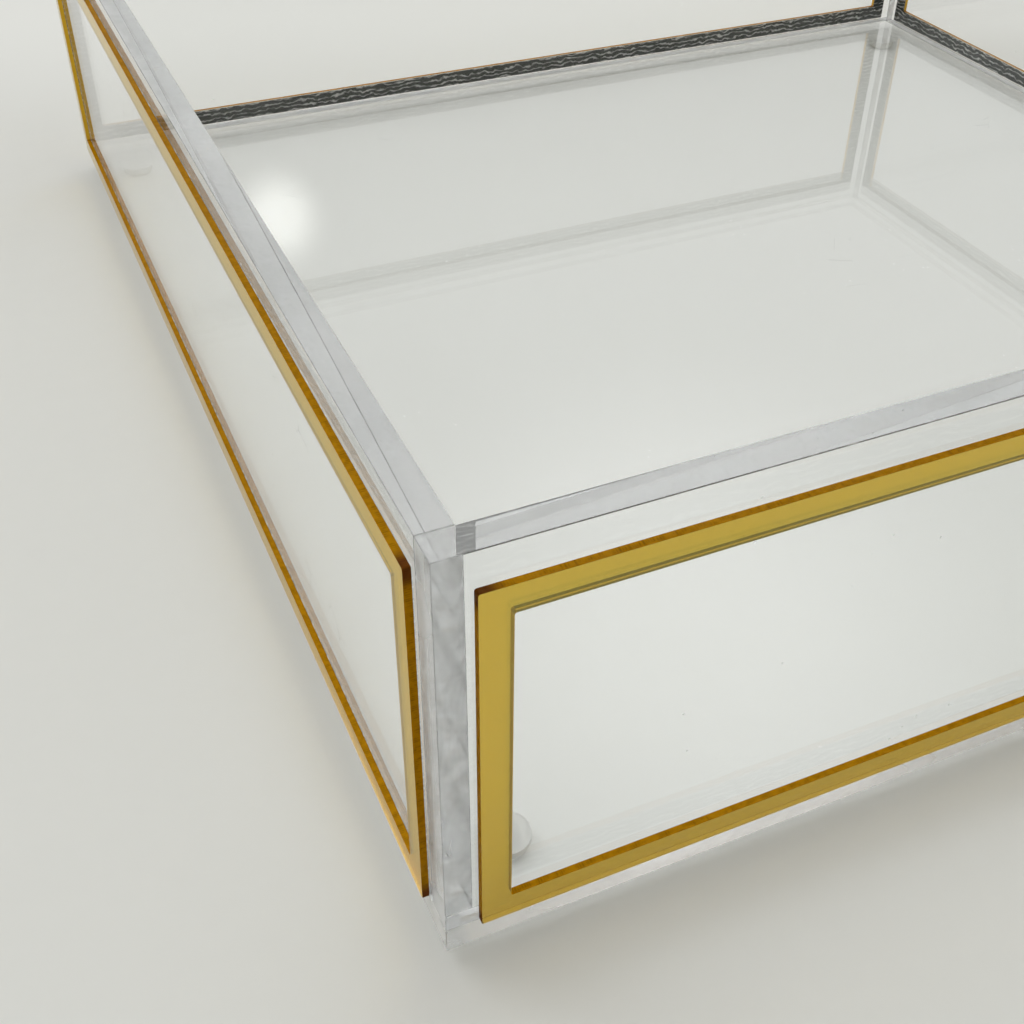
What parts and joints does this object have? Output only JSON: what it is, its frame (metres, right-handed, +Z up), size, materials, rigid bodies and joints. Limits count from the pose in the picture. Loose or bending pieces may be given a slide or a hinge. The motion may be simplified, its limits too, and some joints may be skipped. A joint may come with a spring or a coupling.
{
  "type": "open acrylic card box",
  "caption": "Shallow square open-topped clear acrylic box for wedding cards, with a gold mirror frame on each outer wall and clear bumper feet.",
  "frame": {"origin": "point on the table below the middle of the box, level with the bottom of the feet", "axes": "+X right along the front wall, +Y towards the back wall, +Z up"},
  "size_m": [0.3528, 0.3528, 0.093],
  "materials": {
    "clear_acrylic": "clear cast acrylic sheet, polished faces",
    "gold_mirror_acrylic": "gold mirror acrylic with amber laser-cut edges",
    "grey_adhesive_film": "grey mirror backing and streaky adhesive",
    "clear_bumper": "clear soft polyurethane"
  },
  "bodies": {
    "root": {"base_plate": "clear_acrylic", "front_wall": "clear_acrylic", "back_wall": "clear_acrylic", "left_wall": "clear_acrylic", "right_wall": "clear_acrylic", "front_frame": "gold_mirror_acrylic", "right_frame": "gold_mirror_acrylic", "back_frame": "gold_mirror_acrylic", "left_frame": "gold_mirror_acrylic", "front_frame_film": "grey_adhesive_film", "right_frame_film": "grey_adhesive_film", "back_frame_film": "grey_adhesive_film", "left_frame_film": "grey_adhesive_film", "front_left_foot": "clear_bumper", "front_right_foot": "clear_bumper", "back_left_foot": "clear_bumper", "back_right_foot": "clear_bumper"}
  },
  "joints": []
}
